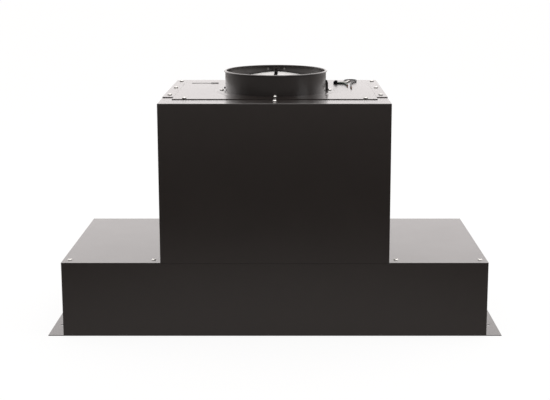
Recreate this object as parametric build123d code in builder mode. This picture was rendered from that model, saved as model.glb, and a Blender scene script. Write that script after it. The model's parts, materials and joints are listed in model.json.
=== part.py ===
from build123d import *
import math
import os

# Built-in range hood: a wide shallow canopy body, a narrower blower casing standing on it,
# and a round duct collar with a two-leaf backdraft damper on top.
# Millimetres, +Z up, +Y to the wall. The origin is on the floor, under the duct's axis.

os.makedirs("parts", exist_ok=True)

# Driving dimensions
body_width = 711.2
body_depth = 304.8
body_height = 127.0
casing_width = 381.0
casing_depth = 330.2
casing_height = 266.7
flange_reach = 25.4
collar_radius = 88.9
collar_height = 38.1
sheet = 1.2
bend = 1.1
thin_sheet = 0.8

# Levels and faces that follow from them
front = -casing_depth / 2
rear = casing_depth / 2
body_rear_face = front + body_depth
body_side = body_width / 2
casing_side = casing_width / 2
ledge = body_height - sheet
casing_top = body_height + casing_height
lid_top = casing_top + sheet
inside_casing = casing_side - sheet

# Fasteners
screw_head_radius = 4.0
screw_head_height = 1.9
screw_shank_radius = 1.9
screw_shank_length = 9.0
screw_hole_radius = 2.1

# Canopy body
front_lip = 25.4
side_lip = 15.0
flange_hole_radius = 2.6
flange_hole_spread = 203.2
rear_hole_spread = 406.4
shoulder_screw_setback = 19.05
shoulder_screw_inset = 11.4
shoulder_screw_gap = 12.7
seam = 0.2
rail_width = 50.8
rail_drop = 14.0
rail_tab = 12.0

# Casing top
front_return = 76.2
side_return = 31.75
rear_return = 76.2
relief = 1.2
casing_lip = 12.0
side_strip = 19.05
end_strip = 50.1
lid_width = casing_width - 2 * side_strip
lid_depth = casing_depth - 2 * end_strip
lid_screw_inset = 19.55
lid_screw_setback = 9.5
strip_screw_inset = 9.5
strip_screw_start = 104.8
strip_screw_end = 22.2
strip_screw_first = front + strip_screw_start
strip_screw_last = rear - strip_screw_end
front_screw_setback = 31.75

# Duct collar and damper
collar_flange = 10.8
collar_screw_circle = 95.25
bead_radius = 1.1
hinge_drop = 9.0
rod_radius = 1.6
running_gap = 0.05
knuckle_wall = 0.95
flap_radius = 86.0
flap_end = 82.0
flap_slope = 6.5
flap_rest_gap = 0.3
knuckle_length = 30.0
knuckle_starts_left = (-76.0, 8.0)
knuckle_starts_right = (-38.0, 46.0)
stop_width = 4.4
stop_rise = 6.5
bracket_width = 40.0
bracket_height = 12.0
bracket_ear = 10.0
rivet_radius = 1.8
rivet_spread = 30.0

# Blower
scroll_half_width = 66.0
scroll_radius = 86.0
scroll_growth = 9.0
scroll_hem = 5.0
fan_drop = 125.7
fan_height = casing_top - fan_drop
wheel_radius = 76.0
wheel_half_length = 58.0
blade_count = 32
blade_depth = 13.0
blade_sheet = 0.8
wheel_ring = 2.0
hub_radius = 12.0
shaft_radius = 4.0
inlet_radius = 60.0
inlet_lip = 5.0
motor_radius = 42.0
motor_length = 68.0
motor_inner_end = -28.0
outlet_frame_width = 12.0
hanger_drop = 45.0
hanger_margin = 24.0
hanger_inset = 29.3
hanger_web = inside_casing - hanger_inset
hanger_foot = 14.0
motor_band = 14.0
motor_band_wall = 2.5
arm_width = 12.0
arm_sheet = 2.0
arm_reach = 84.0
foot_length = 8.0
grommet_radius = 5.0
grommet_height = 2.5

# Underside
pan_recess = 12.0
pan_lip = 15.0
strip_depth = 72.0
bay_margin = 15.7
filter_width = 248.0
filter_gap = 2.0
filter_height = 12.0
filter_rail = 10.0
filter_front_rail = 24.0
bay_rail = 16.0
bay_spacing = filter_width + bay_rail
baffle_pitch = 24.0
baffle_width = 16.0
baffle_lip = 5.6
tab_width = 16.0
tab_reach = 6.0
tab_spread = 160.0
latch_travel = 6.0
latch_width = 18.0
latch_reach = 1.9
latch_clear = 0.3
latch_nose_angle = 55.0
latch_nose_tip = 0.6
latch_stem = 4.0
knob_width = 16.0
knob_drop = 5.5
lamp_inset = 125.6
lamp_margin = 2.0
bezel_width = 5.0
lens_seat = 4.0
lamp_x = body_side - lamp_inset
lamp_bezel = strip_depth / 2 - lamp_margin
lamp_radius = lamp_bezel - bezel_width
lens_radius = lamp_radius - lens_seat
lamp_height = 22.0
panel_width = 126.0
panel_depth = 36.0
panel_thickness = 3.0
button_pitch = 22.0
button_width = 15.0
button_depth = 9.0
button_gap = 0.3
button_travel = 1.5
button_proud = 2.5
switch_height = 20.0

# Electrical parts
outlet_inset = 59.75
outlet_setback = 11.0
outlet_x = lid_width / 2 - outlet_inset
outlet_y = lid_depth / 2 - outlet_setback
outlet_radius = 5.4
outlet_height = 6.0
outlet_mouth = 2.2
neck_radius = 3.5
lead_radius = 1.5
lead_clear = 0.3
tip_length = 8.0
box_width = 76.0
box_depth = 58.0
box_height = 48.0
box_sheet = 1.0
box_inset = 67.3
box_setback = 15.1
box_x = inside_casing - box_inset
box_back = rear - box_setback
terminal_length = 44.0
terminal_depth = 16.0
terminal_height = 14.0
capacitor_radius = 17.0
capacitor_height = 40.0
capacitor_offset = 40.0
capacitor_x = capacitor_offset - hanger_web
capacitor_y = -30.0


def drill(plane, points, radius, depth):
    """Round holes into the part being built, from the plane down against its normal."""
    with BuildSketch(plane) as rounds:
        with Locations(*points):
            Circle(radius)
    extrude(rounds.sketch, amount=-depth, mode=Mode.SUBTRACT)


def slab(x_span, y_span, z_span, mode=Mode.ADD):
    """A rectangular block between three pairs of limits."""
    with BuildSketch(Plane.XY.offset(min(z_span))) as outline:
        with Locations(((x_span[0] + x_span[1]) / 2, (y_span[0] + y_span[1]) / 2)):
            Rectangle(abs(x_span[1] - x_span[0]), abs(y_span[1] - y_span[0]))
    extrude(outline.sketch, amount=abs(z_span[1] - z_span[0]), mode=mode)


def pan_head_screws(points, seat):
    """Pan-head screws standing on the level called seat, each a solid of its own."""
    with BuildSketch(Plane.XY.offset(seat)) as heads:
        with Locations(*points):
            Circle(screw_head_radius)
    extrude(heads.sketch, amount=screw_head_height)
    top_rims = edges().filter_by(GeomType.CIRCLE).group_by(Axis.Z)[-1]
    chamfer(top_rims, screw_head_height * 0.6)
    with BuildSketch(Plane.XY.offset(seat)) as shanks:
        with Locations(*points):
            Circle(screw_shank_radius)
    extrude(shanks.sketch, amount=-screw_shank_length)


def save(piece, name):
    """Labels a finished piece and writes it as its own STEP file."""
    piece.label = name
    export_step(piece, f"parts/{name}.step")


# Screw places, shared by the screws and by every sheet that they pass through
shoulder_points_right = [
    (body_side - shoulder_screw_inset, front + shoulder_screw_setback),
    (casing_side + shoulder_screw_gap, front + shoulder_screw_setback),
]
shoulder_points_left = [(-x, y) for x, y in shoulder_points_right]
lid_screw_x = lid_width / 2 - lid_screw_inset
lid_points = [(side * lid_screw_x, -lid_depth / 2 + lid_screw_setback) for side in (-1, 1)]
strip_rows = [strip_screw_first, (strip_screw_first + strip_screw_last) / 2, strip_screw_last]
strip_points = [(side * (casing_side - strip_screw_inset), y) for side in (-1, 1) for y in strip_rows]
front_point = (0.0, front + front_screw_setback)
collar_points = [
    (collar_screw_circle * math.cos(turn), collar_screw_circle * math.sin(turn))
    for turn in (0, math.pi / 2, math.pi, 3 * math.pi / 2)
]

# Canopy wrap: front and side walls bent from one sheet, with inward top lips and side flanges
with BuildPart() as body_wrap:
    wrap_middle = (front + body_rear_face) / 2
    with BuildSketch():
        with Locations((0, wrap_middle)):
            Rectangle(body_width, body_depth)
        front_corners = vertices().group_by(Axis.Y)[0]
        fillet(front_corners, bend)
    extrude(amount=ledge)
    fillet(edges().group_by(Axis.Z)[-1].group_by(Axis.Y)[0], bend * 0.9)
    inside = (-body_side + sheet, body_side - sheet)
    slab(inside, (front + sheet, body_rear_face), (0, ledge - sheet), Mode.SUBTRACT)
    slab(
        (-body_side + sheet + side_lip, body_side - sheet - side_lip),
        (front + front_lip, body_rear_face),
        (ledge - sheet, ledge),
        Mode.SUBTRACT,
    )
    slab(inside, (body_rear_face - sheet, body_rear_face), (0, ledge), Mode.SUBTRACT)
    for side in (-1, 1):
        flange = (side * (body_side - sheet), side * (body_side + flange_reach))
        slab(flange, (front, body_rear_face), (0, sheet))
    flange_points = [
        (side * (body_side + flange_reach / 2), wrap_middle + step * flange_hole_spread / 2)
        for side in (-1, 1)
        for step in (-1, 1)
    ]
    drill(Plane.XY.offset(sheet), flange_points, flange_hole_radius, sheet)
    drill(Plane.XY.offset(ledge), shoulder_points_left + shoulder_points_right, screw_hole_radius, sheet)
save(body_wrap.part, "body_wrap")

# Canopy rear wall, between the side walls, with a flange that reaches back to the wall of the room
with BuildPart() as body_rear:
    rear_half = body_side - sheet
    slab((-rear_half, rear_half), (body_rear_face - sheet, body_rear_face), (0, ledge))
    slab((-rear_half, rear_half), (body_rear_face - sheet, rear), (0, sheet))
    lip_half = body_side - sheet - side_lip
    lip_stop = body_rear_face - sheet - side_lip
    slab((-lip_half, lip_half), (lip_stop, body_rear_face - sheet), (ledge - sheet, ledge))
    rear_hole_y = (body_rear_face + rear) / 2
    rear_points = [(-rear_hole_spread / 2, rear_hole_y), (rear_hole_spread / 2, rear_hole_y)]
    drill(Plane.XY.offset(sheet), rear_points, flange_hole_radius, sheet)
save(body_rear.part, "body_rear")

# Shoulder plates, which close the canopy beside the casing
for side, name, points in ((-1, "left", shoulder_points_left), (1, "right", shoulder_points_right)):
    with BuildPart() as shoulder:
        slab((side * (casing_side + seam), side * body_side), (front, body_rear_face), (ledge, body_height))
        drill(Plane.XY.offset(body_height), points, screw_hole_radius, sheet)
    save(shoulder.part, f"shoulder_{name}")

# Cross rails under the casing's side walls: channels whose end tabs lie under the lips
for side, name, points in ((-1, "left", shoulder_points_left), (1, "right", shoulder_points_right)):
    with BuildPart() as rail:
        rail_front = front + front_lip
        rail_back = lip_stop
        inner = side * (casing_side - rail_width / 2)
        outer = side * (casing_side + rail_width / 2)
        slab((inner, outer), (rail_front, rail_back), (ledge - sheet, ledge))
        for edge in (inner, outer - side * sheet):
            slab((edge, edge + side * sheet), (rail_front, rail_back), (ledge - rail_drop, ledge - sheet))
        low = ledge - 2 * sheet
        slab((inner, outer), (rail_front - rail_tab, rail_front + rail_tab), (low, low + sheet))
        slab((inner, outer), (rail_back - rail_tab, rail_back + rail_tab), (low, low + sheet))
        drill(Plane.XY.offset(ledge), [points[1]], screw_hole_radius, 2 * sheet)
    save(rail.part, f"cross_rail_{name}")

# Casing wrap: front and sides of the blower casing, with its top returns and bottom lips
with BuildPart() as casing_wrap:
    with BuildSketch(Plane.XY.offset(ledge)):
        Rectangle(casing_width, casing_depth)
        front_corners = vertices().group_by(Axis.Y)[0]
        fillet(front_corners, bend)
    extrude(amount=casing_top - ledge)
    fillet(edges().group_by(Axis.Z)[-1].group_by(Axis.Y)[0], bend * 0.9)
    inside = (-inside_casing, inside_casing)
    top_level = (casing_top - sheet, casing_top)
    slab(inside, (front + sheet, rear), (ledge + sheet, casing_top - sheet), Mode.SUBTRACT)
    lip_x = inside_casing - casing_lip
    slab((-lip_x, lip_x), (front + sheet + casing_lip, rear), (ledge, ledge + sheet), Mode.SUBTRACT)
    slab(inside, (lip_stop, rear), (ledge, ledge + sheet), Mode.SUBTRACT)
    return_x = casing_side - side_return
    return_y = front + front_return
    slab((-return_x, return_x), (return_y, rear), top_level, Mode.SUBTRACT)
    slab(inside, (return_y, return_y + relief), top_level, Mode.SUBTRACT)
    return_stop = rear - rear_return - relief
    slab(inside, (return_stop, rear), top_level, Mode.SUBTRACT)
    side_strip_points = [point for point in strip_points if point[1] < return_stop]
    wrap_points = side_strip_points + lid_points + [front_point, collar_points[3]]
    drill(Plane.XY.offset(casing_top), wrap_points, screw_hole_radius, sheet)
save(casing_wrap.part, "casing_wrap")

# Casing rear panel, with a wide top return and a bottom return over the canopy's rear lip. A second
# layer on top, level with the lid, runs forward along both sides as a strip
with BuildPart() as casing_rear:
    slab(inside, (rear - sheet, rear), (ledge, casing_top))
    lid_rear = lid_depth / 2
    lid_level = (casing_top, lid_top)
    slab((-casing_side, casing_side), (lid_rear + seam, rear), lid_level)
    for side in (-1, 1):
        slab((side * (lid_width / 2 + seam), side * casing_side), (return_y, rear), lid_level)
    slab(inside, (rear - rear_return, rear - sheet), top_level)
    slab(inside, (lip_stop, rear - sheet), (ledge, ledge + sheet))
    for side in (-1, 1):
        web = side * inside_casing
        slab(
            (web - side * sheet, web),
            (rear - sheet - casing_lip, rear - sheet),
            (ledge + sheet, casing_top - sheet),
        )
    drill(Plane.XY.offset(lid_top), strip_points + [collar_points[1]], screw_hole_radius, 2 * sheet)
    drill(Plane.XY.offset(casing_top), [(outlet_x, outlet_y)], neck_radius + seam, sheet)
save(casing_rear.part, "casing_rear")

# Lid over the returns, with the duct opening
with BuildPart() as top_lid:
    with BuildSketch(Plane.XY.offset(casing_top)):
        Rectangle(lid_width, lid_depth)
        Circle(collar_radius - thin_sheet, mode=Mode.SUBTRACT)
    extrude(amount=sheet)
    drill(Plane.XY.offset(lid_top), lid_points + collar_points, screw_hole_radius, sheet)
    drill(Plane.XY.offset(lid_top), [(outlet_x, outlet_y)], neck_radius + seam, sheet)
save(top_lid.part, "top_lid")

# Duct collar: base flange, wall and inward rolled rim in one, with two ledges for the closed flaps
collar_inner = collar_radius - thin_sheet
collar_rim = casing_top + collar_height
hinge_z = collar_rim - hinge_drop
knuckle_radius = rod_radius + running_gap + knuckle_wall
slope = math.radians(flap_slope)
flap_edge_low = hinge_z - flap_radius * math.sin(slope) - knuckle_radius * math.cos(slope)
with BuildPart() as duct_collar:
    with BuildSketch(Plane.XZ):
        with BuildLine():
            roll_inner = collar_radius - 2 * bead_radius
            roll_level = collar_rim - bead_radius
            roll = ThreePointArc(
                (collar_radius, roll_level),
                (collar_radius - bead_radius, collar_rim),
                (roll_inner, roll_level),
            )
            Polyline(
                roll @ 1,
                (roll_inner, roll_level - bead_radius),
                (collar_inner, roll_level - 1.5 * bead_radius),
                (collar_inner, lid_top),
                (collar_radius + collar_flange, lid_top),
                (collar_radius + collar_flange, lid_top + thin_sheet),
                (collar_radius, lid_top + thin_sheet),
                roll @ 0,
            )
        make_face()
    revolve(axis=Axis.Z)
    drill(Plane.XY.offset(lid_top + thin_sheet), collar_points, screw_hole_radius, thin_sheet)
    ledge_top = flap_edge_low - flap_rest_gap
    with BuildSketch(Plane.XY.offset(ledge_top - sheet)):
        Circle(collar_radius - thin_sheet / 2)
        Circle(flap_radius - 4, mode=Mode.SUBTRACT)
        Rectangle(2 * collar_radius, 16, mode=Mode.INTERSECT)
    extrude(amount=sheet)
save(duct_collar.part, "duct_collar")

# Hinge brackets riveted inside the collar, front and rear, that carry the damper rod
with BuildPart() as rod_brackets:
    for end in (-1, 1):
        with BuildSketch(Plane.XY.offset(hinge_z - bracket_height / 2)):
            Circle(collar_inner)
            Circle(collar_inner - thin_sheet, mode=Mode.SUBTRACT)
            with Locations((0, end * collar_radius)):
                Rectangle(bracket_width, collar_radius, mode=Mode.INTERSECT)
        extrude(amount=bracket_height)
        with BuildSketch(Plane.XY.offset(hinge_z - bracket_height / 2)):
            Circle(collar_inner - thin_sheet / 2)
            with Locations((0, end * (flap_end + (collar_inner - flap_end) / 2))):
                Rectangle(bracket_ear, collar_inner - flap_end, mode=Mode.INTERSECT)
        extrude(amount=bracket_height)
    with BuildSketch(Plane.XZ.offset(-collar_inner)):
        with Locations((0, hinge_z)):
            Circle(rod_radius + running_gap)
    extrude(amount=2 * collar_inner, mode=Mode.SUBTRACT)
save(rod_brackets.part, "rod_brackets")

# Damper rod, from bracket to bracket
with BuildPart() as damper_rod:
    rod_half = collar_inner - 3 * thin_sheet
    with BuildSketch(Plane.XZ.offset(-rod_half)):
        with Locations((0, hinge_z)):
            Circle(rod_radius)
    extrude(amount=2 * rod_half)
save(damper_rod.part, "damper_rod")

# Stop clip in the middle of the rod, which keeps the open flaps from passing upright
with BuildPart() as damper_stop:
    with BuildSketch(Plane.XY.offset(hinge_z - knuckle_radius)):
        RectangleRounded(stop_width, 2 * stop_width, 1)
    extrude(amount=knuckle_radius + stop_rise)
    with BuildSketch(Plane.XZ.offset(-collar_inner)):
        with Locations((0, hinge_z)):
            Circle(rod_radius + running_gap)
    extrude(amount=2 * collar_inner, mode=Mode.SUBTRACT)
save(damper_stop.part, "damper_stop")

# Damper flaps: half discs with rolled knuckles on the rod, resting on the ledges, sloping outwards
for side, name, starts in ((-1, "left", knuckle_starts_left), (1, "right", knuckle_starts_right)):
    with BuildPart() as flap:
        leaf_plane = Plane(origin=(0, 0, hinge_z), x_dir=(side, 0, 0), z_dir=(0, 0, 1))
        leaf_plane = leaf_plane.rotated((0, side * flap_slope, 0))
        with BuildSketch(leaf_plane.offset(-knuckle_radius)):
            Circle(flap_radius)
            with Locations((flap_radius / 2 + knuckle_radius + 0.6, 0)):
                Rectangle(flap_radius, 2 * flap_end, mode=Mode.INTERSECT)
            for end in (-1, 1):
                with Locations((bracket_ear / 4, end * flap_end)):
                    Rectangle(bracket_ear + 4, 7, mode=Mode.SUBTRACT)
            for start in starts:
                with Locations((flap_radius / 4, side * (start + knuckle_length / 2))):
                    Rectangle(flap_radius / 2, knuckle_length)
        extrude(amount=thin_sheet)
        for start in starts:
            with BuildSketch(Plane.XZ.offset(-start)):
                with Locations((0, hinge_z)):
                    Circle(knuckle_radius)
            extrude(amount=-knuckle_length)
        with BuildSketch(Plane.XZ.offset(collar_radius)):
            with Locations((0, hinge_z)):
                Circle(rod_radius + running_gap)
        extrude(amount=-2 * collar_radius, mode=Mode.SUBTRACT)
    save(flap.part, f"damper_flap_{name}")

# Rivets of the hinge brackets, with low domed heads inside the collar
with BuildPart() as bracket_rivets:
    for end in (-1, 1):
        rivet_edge = rivet_spread / 2 + rivet_radius
        rivet_face = math.sqrt((collar_inner - thin_sheet) ** 2 - rivet_edge**2)
        with BuildSketch(Plane.XZ.offset(-end * rivet_face)):
            with Locations((-rivet_spread / 2, hinge_z + 2), (rivet_spread / 2, hinge_z + 2)):
                Circle(rivet_radius)
        extrude(amount=end * 1.2)
save(bracket_rivets.part, "bracket_rivets")

# Blower scroll, drawn looking along X: three quarter arcs that widen towards a straight outlet
fan_y = (scroll_radius + 3 * scroll_growth) / 2
scroll_top = casing_top - sheet


def scroll_outline(skin):
    """The scroll's outline as a face, grown by a skin: outlet on top, cut-off at its rear corner."""
    low = scroll_radius + skin
    middle = low + scroll_growth
    high = middle + scroll_growth
    nose_y = fan_y - scroll_growth - high
    with BuildSketch() as outline:
        with BuildLine():
            CenterArc((fan_y, fan_height), low, 0, 90)
            CenterArc((fan_y - scroll_growth, fan_height), middle, 270, 90)
            CenterArc((fan_y - scroll_growth, fan_height + scroll_growth), high, 180, 90)
            Polyline(
                (nose_y, fan_height + scroll_growth),
                (nose_y, fan_height + low),
                (fan_y, fan_height + low),
            )
        make_face()
        throat_low = fan_height + low * 0.9
        with Locations(((nose_y + fan_y + skin) / 2, (throat_low + scroll_top) / 2)):
            Rectangle(fan_y + skin - nose_y, scroll_top - throat_low)
    return outline.sketch


with BuildPart() as scroll_wrap:
    with BuildSketch(Plane.YZ.offset(-scroll_half_width)):
        add(scroll_outline(sheet))
        add(scroll_outline(0), mode=Mode.SUBTRACT)
    extrude(amount=2 * scroll_half_width)
save(scroll_wrap.part, "scroll_wrap")

# Scroll sides with their round inlets, and the bell mouths that guide air into the wheel
fan_axis = Axis((0, fan_y, fan_height), (1, 0, 0))
side_face = scroll_half_width + sheet
for side, name in ((-1, "left"), (1, "right")):
    with BuildPart() as scroll_side:
        with BuildSketch(Plane.YZ.offset(side * scroll_half_width)):
            add(scroll_outline(scroll_hem))
            with Locations((fan_y, fan_height)):
                Circle(inlet_radius, mode=Mode.SUBTRACT)
        extrude(amount=side * sheet)
    save(scroll_side.part, f"scroll_side_{name}")
    with BuildPart() as inlet_ring:
        with BuildSketch(Plane(origin=(0, fan_y, fan_height), x_dir=(side, 0, 0), z_dir=(0, -side, 0))):
            with BuildLine():
                outer_flare = ThreePointArc(
                    (side_face + thin_sheet, inlet_radius + 1),
                    (side_face - 1.2, inlet_radius - inlet_lip * 0.55),
                    (side_face - inlet_lip - 2, inlet_radius - inlet_lip),
                )
                Line(outer_flare @ 1, outer_flare @ 1 + Vector(0, thin_sheet))
                inner_flare = ThreePointArc(
                    outer_flare @ 1 + Vector(0, thin_sheet),
                    (side_face - 1.9, inlet_radius - inlet_lip * 0.55 + thin_sheet * 0.7),
                    (side_face, inlet_radius - 0.4),
                )
                Polyline(
                    inner_flare @ 1,
                    (side_face, inlet_radius + 2 * inlet_lip),
                    (side_face + thin_sheet, inlet_radius + 2 * inlet_lip),
                    outer_flare @ 0,
                )
            make_face()
        revolve(axis=fan_axis)
    save(inlet_ring.part, f"inlet_ring_{name}")

# Fan wheel: forward-curved blades between two end rings, on a centre disc with a hub
wheel_plane = Plane(origin=(0, fan_y, fan_height), x_dir=(0, 1, 0), z_dir=(1, 0, 0))
blade_root = wheel_radius - blade_depth + 0.2
blade_tip = wheel_radius - 0.3
blade_rake = blade_depth * 0.38
with BuildSketch() as blade:
    with BuildLine():
        belly = ThreePointArc(
            (blade_root, 0),
            ((blade_root + blade_tip) / 2, blade_rake * 0.22),
            (blade_tip, blade_rake),
        )
        crown = ThreePointArc(
            (blade_tip, blade_rake + blade_sheet),
            ((blade_root + blade_tip) / 2, blade_rake * 0.22 + blade_sheet),
            (blade_root, blade_sheet),
        )
        Line(belly @ 1, crown @ 0)
        Line(crown @ 1, belly @ 0)
    make_face()
with BuildPart() as fan_wheel:
    with BuildSketch(wheel_plane.offset(-wheel_half_length)):
        with PolarLocations(0, blade_count):
            add(blade.sketch)
    extrude(amount=2 * wheel_half_length)
    for end in (-wheel_half_length, wheel_half_length - wheel_ring):
        with BuildSketch(wheel_plane.offset(end)):
            Circle(wheel_radius)
            Circle(wheel_radius - blade_depth, mode=Mode.SUBTRACT)
        extrude(amount=wheel_ring)
    with BuildSketch(wheel_plane.offset(-sheet / 2)):
        Circle(wheel_radius - blade_depth / 2)
    extrude(amount=sheet)
    with BuildSketch(wheel_plane.offset(-hub_radius)):
        Circle(hub_radius)
    extrude(amount=2 * hub_radius)
    with BuildSketch(wheel_plane.offset(-wheel_half_length)):
        Circle(shaft_radius)
    extrude(amount=2 * wheel_half_length, mode=Mode.SUBTRACT)
save(fan_wheel.part, "fan_wheel")

# Motor shaft, from behind the motor to the far side of the hub
motor_outer_end = motor_inner_end - motor_length
boss_radius = 11.0
boss_length = 4.0
shaft_end = motor_outer_end - boss_length - 6
with BuildPart() as motor_shaft:
    with BuildSketch(wheel_plane.offset(shaft_end)):
        Circle(shaft_radius)
    extrude(amount=hub_radius + 3 - shaft_end)
    chamfer(edges().filter_by(GeomType.CIRCLE), 0.5)
save(motor_shaft.part, "motor_shaft")

# Motor, half inside the wheel, with a bearing boss at each end
with BuildPart() as motor:
    with BuildSketch(wheel_plane.offset(motor_outer_end)):
        Circle(motor_radius)
    extrude(amount=motor_length)
    chamfer(edges().filter_by(GeomType.CIRCLE), 5)
    with BuildSketch(wheel_plane.offset(motor_outer_end - boss_length)):
        Circle(boss_radius)
    extrude(amount=motor_length + 2 * boss_length)
    with BuildSketch(wheel_plane.offset(motor_outer_end - boss_length)):
        Circle(shaft_radius + running_gap)
    extrude(amount=motor_length + 2 * boss_length, mode=Mode.SUBTRACT)
save(motor.part, "motor")

# Motor bracket: a band round the motor with three arms that end in feet on the scroll's left side
arm_face = -side_face - thin_sheet - arm_sheet
arm_turns = (30, 150, 270)
with BuildPart() as motor_bracket:
    with BuildSketch(wheel_plane.offset(arm_face + arm_sheet / 2 - motor_band / 2)):
        Circle(motor_radius + motor_band_wall)
        Circle(motor_radius, mode=Mode.SUBTRACT)
    extrude(amount=motor_band)
    with BuildSketch(wheel_plane.offset(arm_face)):
        for turn in arm_turns:
            with Locations(Location((0, 0, 0), (0, 0, turn))):
                with Locations(((motor_radius + arm_reach + 1) / 2, 0)):
                    Rectangle(arm_reach - motor_radius - 1, arm_width)
    extrude(amount=arm_sheet)
    with BuildSketch(wheel_plane.offset(arm_face + arm_sheet)):
        for turn in arm_turns:
            with Locations(Location((0, 0, 0), (0, 0, turn))):
                with Locations((arm_reach - foot_length / 2, 0)):
                    Rectangle(foot_length, arm_width)
    extrude(amount=thin_sheet)
save(motor_bracket.part, "motor_bracket")

# Rubber grommets on the bracket's feet
with BuildPart() as motor_grommets:
    with BuildSketch(wheel_plane.offset(arm_face)):
        with PolarLocations(arm_reach - grommet_radius - 1, 3, start_angle=arm_turns[0]):
            Circle(grommet_radius)
    extrude(amount=-grommet_height)
save(motor_grommets.part, "motor_grommets")

# Outlet frame between the scroll and the lid
nose_face = fan_y - 2 * scroll_growth - scroll_growth - scroll_radius
with BuildPart() as outlet_frame:
    slab(
        (-side_face - outlet_frame_width, side_face + outlet_frame_width),
        (nose_face - sheet - outlet_frame_width, fan_y + sheet + outlet_frame_width),
        (scroll_top, casing_top),
    )
    slab((-scroll_half_width, scroll_half_width), (nose_face, fan_y), (scroll_top, casing_top), Mode.SUBTRACT)
save(outlet_frame.part, "outlet_frame")

# Hangers, screwed under the side returns, whose shelves carry the scroll
shelf_top = casing_top - hanger_drop
hang_y = (strip_rows[0] - hanger_margin, strip_rows[1] + hanger_margin)
for side, name in ((-1, "left"), (1, "right")):
    with BuildPart() as hanger:
        web_x = side * hanger_web
        slab((web_x, side * inside_casing), hang_y, (casing_top - 2 * sheet, casing_top - sheet))
        slab((web_x, web_x + side * sheet), hang_y, (shelf_top - sheet, casing_top - sheet))
        slab((side * side_face, web_x + side * sheet), hang_y, (shelf_top - sheet, shelf_top))
        foot_x = (side * side_face, side * (side_face + sheet))
        slab(foot_x, hang_y, (shelf_top - sheet, shelf_top + hanger_foot))
        hanger_points = [point for point in side_strip_points if point[0] * side > 0]
        drill(Plane.XY.offset(casing_top - sheet), hanger_points, screw_hole_radius, sheet)
    save(hanger.part, f"blower_hanger_{name}")

# Run capacitor on the left shelf
with BuildPart() as capacitor:
    with BuildSketch(Plane.XY.offset(shelf_top)):
        with Locations((capacitor_x, capacitor_y)):
            Circle(capacitor_radius)
    extrude(amount=capacitor_height)
    chamfer(edges().filter_by(GeomType.CIRCLE).group_by(Axis.Z)[-1], 1.5)
save(capacitor.part, "capacitor")

# Wiring box under the rear return, with its cover and terminal block
box_top = casing_top - sheet
box_low = box_top - box_height
box_x_span = (box_x - box_width / 2, box_x + box_width / 2)
box_front = box_back - box_depth
with BuildPart() as wiring_box:
    slab(box_x_span, (box_front, box_back), (box_low, box_top))
    slab(
        (box_x_span[0] + box_sheet, box_x_span[1] - box_sheet),
        (box_front, box_back - box_sheet),
        (box_low + box_sheet, box_top),
        Mode.SUBTRACT,
    )
save(wiring_box.part, "wiring_box")
with BuildPart() as wiring_box_cover:
    slab(box_x_span, (box_front - box_sheet, box_front), (box_low, box_top))
save(wiring_box_cover.part, "wiring_box_cover")
with BuildPart() as terminal_block:
    floor_z = box_low + box_sheet
    middle_y = (box_front + box_back) / 2
    slab(
        (box_x - terminal_length / 2, box_x + terminal_length / 2),
        (middle_y - terminal_depth / 2, middle_y + terminal_depth / 2),
        (floor_z, floor_z + terminal_height),
    )
    groove = terminal_length / 9
    for step in range(4):
        groove_x = box_x - terminal_length / 2 + (2 * step + 1.5) * groove
        slab(
            (groove_x - groove / 2, groove_x + groove / 2),
            (middle_y - terminal_depth / 2, middle_y + terminal_depth / 2),
            (floor_z + terminal_height / 2, floor_z + terminal_height),
            Mode.SUBTRACT,
        )
save(terminal_block.part, "terminal_block")

# Lead outlet: a low hooded bushing in the lid, with its mouth towards +X
with BuildPart() as lead_outlet:
    with BuildSketch(Plane.XY.offset(lid_top)):
        with Locations((outlet_x, outlet_y)):
            Circle(outlet_radius)
    extrude(amount=outlet_height)
    chamfer(edges().filter_by(GeomType.CIRCLE).group_by(Axis.Z)[-1], outlet_height * 0.45)
    with BuildSketch(Plane.XY.offset(lid_top)):
        with Locations((outlet_x, outlet_y)):
            Circle(neck_radius)
    extrude(amount=-3 * sheet)
    slab(
        (outlet_x + outlet_mouth, outlet_x + 2 * outlet_radius),
        (outlet_y - 2 * outlet_radius, outlet_y + 2 * outlet_radius),
        (lid_top, lid_top + 2 * outlet_height),
        Mode.SUBTRACT,
    )
save(lead_outlet.part, "lead_outlet")

# Supply leads lying on the lid. Offsets from the middle of the outlet's mouth, in the lid's plane
black_route = (
    (0, 3.3), (6.6, 3.3), (12.2, 7), (15, 14.5), (15, 23), (14.2, 31.5), (16, 39.8), (21.2, 46.3),
    (29.2, 47.5), (35.8, 43), (37.6, 35.4), (35.6, 26.4), (31.6, 17), (28.6, 7), (26, -3.5), (24.2, -15),
    (23.6, -27), (22.4, -39), (22.6, -50.5), (21.6, -62.5), (21.8, -74.5),
)
white_route = ((0, 0), (6.6, 0), (13, 2.6), (17.6, 8.2), (19.4, 16), (20.6, 24), (23.2, 31.5))
green_route = ((0, -3.3), (6.5, -3.3), (12, -7), (14.8, -14.5), (15.4, -24), (16.6, -33.5), (16.4, -43))
lead_level = lid_top + lead_radius + lead_clear


def corner_radii(points):
    """The largest even arc that each corner of a route has room for."""
    radii = []
    for before, corner, after in zip(points, points[1:], points[2:]):
        arriving = Vector(*corner) - Vector(*before)
        leaving = Vector(*after) - Vector(*corner)
        turn = math.radians(arriving.get_angle(leaving))
        radii.append(0.45 * min(arriving.length, leaving.length) / math.tan(turn / 2))
    return radii


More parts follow.
